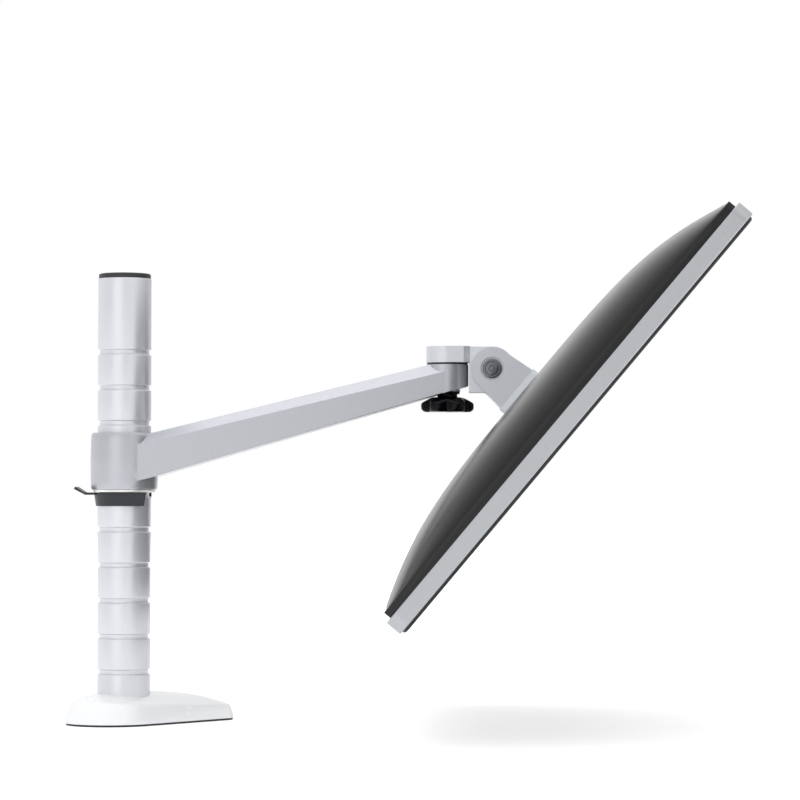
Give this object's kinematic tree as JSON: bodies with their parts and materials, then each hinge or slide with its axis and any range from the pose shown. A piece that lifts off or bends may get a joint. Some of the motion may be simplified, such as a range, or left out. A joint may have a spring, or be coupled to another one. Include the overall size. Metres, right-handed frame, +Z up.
{
  "type": "computer monitor",
  "caption": "Flat-panel computer monitor on a rising aluminium arm that slides and turns on a grooved pole, with swivel, tilt and portrait joints.",
  "frame": {"origin": "on the pole's axis at the desk surface, at the mouth of the desk-bolt thread", "axes": "+Z up along the pole, +X along the arm towards the display, +Y across the display"},
  "size_m": [0.5582, 0.632, 0.4167],
  "materials": {
    "pad_rubber": "matt moulded rubber",
    "base_paint": "gloss white powder coat",
    "zinc_steel": "zinc plated",
    "pole_anodised": "satin anodised",
    "cap_plastic": "fine matt texture",
    "liner_plastic": "smooth bearing plastic",
    "nylon_white": "natural white nylon",
    "clip_plastic": "satin moulded plastic",
    "arm_metal": "fine silver powder coat",
    "head_metal": "fine silver powder coat",
    "knob_plastic": "gloss",
    "insert_brass": "plain turned brass",
    "bracket_metal": "fine silver powder coat",
    "bolt_steel": "dark zinc plate",
    "plate_metal": "silver powder coat",
    "tray_plastic": "fine matt texture",
    "back_plastic": "satin gloss",
    "circuit_board": "solder mask",
    "socket_plastic": "moulded",
    "socket_metal": "nickel plated shell",
    "speaker_plastic": "moulded",
    "band_metal": "bead blasted, satin anodised",
    "led_strip": "white solder mask",
    "guide_acrylic": "clear acrylic",
    "film_plastic": "frosted film",
    "panel_glass": "polarised panel, switched off",
    "seal_foam": "black foam tape",
    "front_glass": "gloss, black printed behind",
    "button_metal": "satin anodised"
  },
  "bodies": {
    "stand": {"base_pad": "pad_rubber", "base_casting": "base_paint", "base_screws": "zinc_steel", "pole_plug": "zinc_steel", "pole_tube": "pole_anodised", "pole_cap": "cap_plastic"},
    "height_carrier": {"thrust_washer": "nylon_white"},
    "height_clip": {"clip_body": "clip_plastic", "clip_plate": "clip_plastic"},
    "arm": {"arm_casting": "arm_metal", "upper_bush": "liner_plastic", "lower_bush": "liner_plastic", "knuckle_bush": "liner_plastic"},
    "head": {"head_casting": "head_metal", "swivel_stud": "zinc_steel", "swivel_washer": "liner_plastic", "tilt_bush": "liner_plastic"},
    "swivel_knob": {"knob_grip": "knob_plastic", "knob_insert": "insert_brass", "knob_washer": "zinc_steel"},
    "tilt_bracket": {"tilt_bracket": "bracket_metal", "tilt_bolt": "bolt_steel", "tilt_nut": "bolt_steel", "friction_washers": "zinc_steel", "roll_pivot": "zinc_steel", "roll_washer": "liner_plastic"},
    "display": {"vesa_plate": "plate_metal", "vesa_screws": "bolt_steel", "rear_tray": "tray_plastic", "back_cover": "back_plastic", "cover_screws": "bolt_steel", "mount_plate": "zinc_steel", "mount_posts": "zinc_steel", "main_board": "circuit_board", "board_standoffs": "insert_brass", "power_board": "circuit_board", "power_inlet": "socket_plastic", "video_socket_a": "socket_metal", "video_socket_b": "socket_metal", "usb_sockets": "socket_metal", "audio_socket": "socket_plastic", "speaker_left": "speaker_plastic", "speaker_right": "speaker_plastic", "frame_band": "band_metal", "chassis_pan": "zinc_steel", "led_bar": "led_strip", "light_guide": "guide_acrylic", "diffuser_films": "film_plastic", "lcd_cell": "panel_glass", "glass_seal": "seal_foam", "front_glass": "front_glass", "button_board": "circuit_board"},
    "power_button": {"power_button": "button_metal"},
    "menu_button_1": {"menu_button_1": "button_metal"},
    "menu_button_2": {"menu_button_2": "button_metal"},
    "menu_button_3": {"menu_button_3": "button_metal"},
    "menu_button_4": {"menu_button_4": "button_metal"}
  },
  "joints": [
    {"name": "height_slide", "type": "slide", "parent": "stand", "child": "height_carrier", "axis": [0, 0, 1], "range_m": [-0.06, 0.12]},
    {"name": "clip_pull", "type": "slide", "parent": "height_carrier", "child": "height_clip", "axis": [-1, 0, 0], "range_m": [0, 0.055]},
    {"name": "arm_turn", "type": "hinge", "parent": "height_carrier", "child": "arm", "pos_m": [0, 0, 0.22], "axis": [0, 0, 1], "continuous": true},
    {"name": "head_swivel", "type": "hinge", "parent": "arm", "child": "head", "pos_m": [0.274, 0, 0.31], "axis": [0, 0, 1], "range_deg": [-60, 60]},
    {"name": "knob_turn", "type": "hinge", "parent": "head", "child": "swivel_knob", "pos_m": [0.274, 0, 0.27], "axis": [0, 0, 1], "continuous": true},
    {"name": "tilt", "type": "hinge", "parent": "head", "child": "tilt_bracket", "pos_m": [0.312, 0, 0.3], "axis": [0, -1, 0], "range_deg": [0, 75]},
    {"name": "roll", "type": "hinge", "parent": "tilt_bracket", "child": "display", "pos_m": [0.312, 0, 0.3], "axis": [0.766, 0, -0.6428], "range_deg": [0, 90]},
    {"name": "power_button_press", "type": "slide", "parent": "display", "child": "power_button", "axis": [0.6428, 0, 0.766], "range_m": [0, 0.0005], "stiffness_N_per_m": 2500},
    {"name": "menu_button_1_press", "type": "slide", "parent": "display", "child": "menu_button_1", "axis": [0.6428, 0, 0.766], "range_m": [0, 0.0005], "stiffness_N_per_m": 2500},
    {"name": "menu_button_2_press", "type": "slide", "parent": "display", "child": "menu_button_2", "axis": [0.6428, 0, 0.766], "range_m": [0, 0.0005], "stiffness_N_per_m": 2500},
    {"name": "menu_button_3_press", "type": "slide", "parent": "display", "child": "menu_button_3", "axis": [0.6428, 0, 0.766], "range_m": [0, 0.0005], "stiffness_N_per_m": 2500},
    {"name": "menu_button_4_press", "type": "slide", "parent": "display", "child": "menu_button_4", "axis": [0.6428, 0, 0.766], "range_m": [0, 0.0005], "stiffness_N_per_m": 2500}
  ]
}
